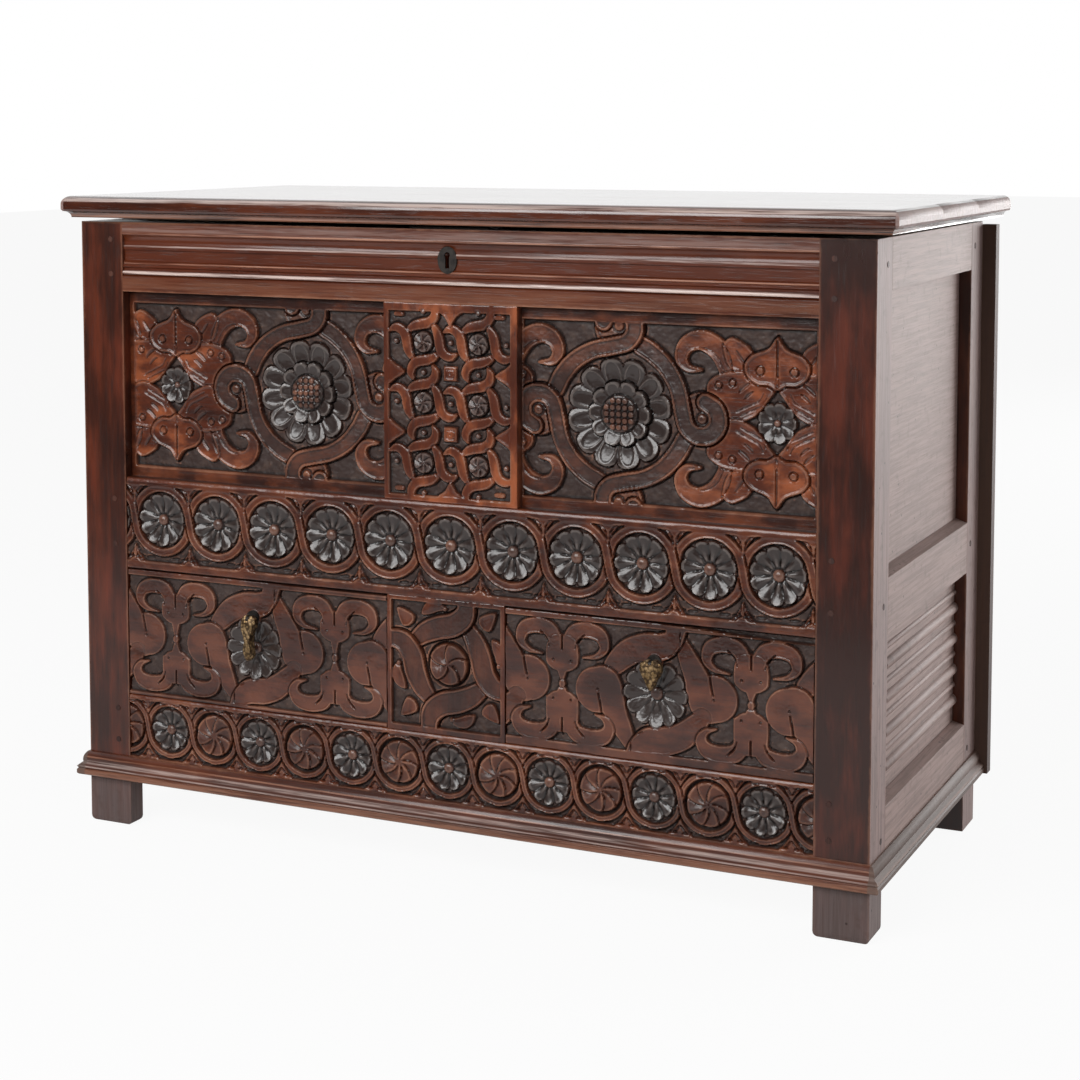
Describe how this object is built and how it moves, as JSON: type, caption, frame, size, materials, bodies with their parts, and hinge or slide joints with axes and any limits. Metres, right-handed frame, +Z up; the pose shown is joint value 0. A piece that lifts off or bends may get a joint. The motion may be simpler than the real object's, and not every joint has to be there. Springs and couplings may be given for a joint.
{
  "type": "mule chest",
  "caption": "Joined oak mule chest: hinged plank lid over a chest with a carved panelled front, drawers side by side beneath it, and square stile feet.",
  "frame": {"origin": "on the floor, under the centre of the lid outline, which is the box of the whole chest", "axes": "+Z up, +X to the right seen from the front, the front faces -Y"},
  "size_m": [1.251, 0.611, 0.9353],
  "materials": {
    "frame_oak": "waxed, worn at the edges",
    "carved_oak": "carved and waxed",
    "lid_oak": "waxed, worn",
    "inner_oak": "dry, unfinished",
    "forged_iron": "forged, dark",
    "brass": "aged, rubbed bright"
  },
  "bodies": {
    "case": {"back_boards": "inner_oak", "base_moulding_front": "frame_oak", "base_moulding_left": "frame_oak", "base_moulding_right": "frame_oak", "case_nails": "forged_iron", "centre_bearer": "inner_oak", "chest_floor_boards": "inner_oak", "drawer_muntin": "carved_oak", "drawer_partitions": "inner_oak", "drawer_runners": "inner_oak", "front_bottom_rail": "carved_oak", "front_middle_rail": "carved_oak", "front_panel_left": "carved_oak", "front_panel_right": "carved_oak", "front_stile_left": "frame_oak", "front_stile_right": "frame_oak", "front_top_rail": "frame_oak", "hinge_leaves": "forged_iron", "hinge_pins": "forged_iron", "joint_pegs": "frame_oak", "keyhole_escutcheon": "forged_iron", "lock_case": "forged_iron", "panel_muntin": "carved_oak", "rear_bottom_rail": "inner_oak", "rear_middle_rail": "inner_oak", "rear_stile_left": "inner_oak", "rear_stile_right": "inner_oak", "rear_top_rail": "inner_oak", "side_bottom_rail_left": "frame_oak", "side_bottom_rail_right": "frame_oak", "side_middle_rail_left": "frame_oak", "side_middle_rail_right": "frame_oak", "side_panel_lower_left": "frame_oak", "side_panel_lower_right": "frame_oak", "side_panel_upper_left": "frame_oak", "side_panel_upper_right": "frame_oak", "side_top_rail_left": "frame_oak", "side_top_rail_right": "frame_oak"},
    "lid": {"hinge_strap_left": "forged_iron", "hinge_strap_right": "forged_iron", "lid_board_front": "lid_oak", "lid_board_middle": "lid_oak", "lid_board_rear": "lid_oak", "lid_nails": "forged_iron", "lock_staple": "forged_iron"},
    "drawer_left": {"drawer_left_back": "inner_oak", "drawer_left_bottom": "inner_oak", "drawer_left_front": "carved_oak", "drawer_left_side_left": "inner_oak", "drawer_left_side_right": "inner_oak", "pull_plate_left": "forged_iron"},
    "drawer_right": {"drawer_right_back": "inner_oak", "drawer_right_bottom": "inner_oak", "drawer_right_front": "carved_oak", "drawer_right_side_left": "inner_oak", "drawer_right_side_right": "inner_oak", "pull_plate_right": "forged_iron"},
    "pull_drop_left": {"pull_drop_left": "brass"},
    "pull_drop_right": {"pull_drop_right": "brass"},
    "lock_bolt": {"lock_bolt": "forged_iron"}
  },
  "joints": [
    {"name": "lid_hinge", "type": "hinge", "parent": "case", "child": "lid", "pos_m": [0, 0.3008, 0.9], "axis": [-1, 0, 0], "range_deg": [0, 95]},
    {"name": "drawer_left_slide", "type": "slide", "parent": "case", "child": "drawer_left", "axis": [0, -1, 0], "range_m": [0, 0.38]},
    {"name": "drawer_right_slide", "type": "slide", "parent": "case", "child": "drawer_right", "axis": [0, -1, 0], "range_m": [0, 0.38]},
    {"name": "pull_drop_left_swing", "type": "hinge", "parent": "drawer_left", "child": "pull_drop_left", "pos_m": [-0.32, -0.2925, 0.336], "axis": [-1, 0, 0], "range_deg": [0, 85]},
    {"name": "pull_drop_right_swing", "type": "hinge", "parent": "drawer_right", "child": "pull_drop_right", "pos_m": [0.2975, -0.2925, 0.336], "axis": [-1, 0, 0], "range_deg": [0, 85]},
    {"name": "lock_bolt_slide", "type": "slide", "parent": "case", "child": "lock_bolt", "axis": [1, 0, 0], "range_m": [0, 0.018]}
  ]
}
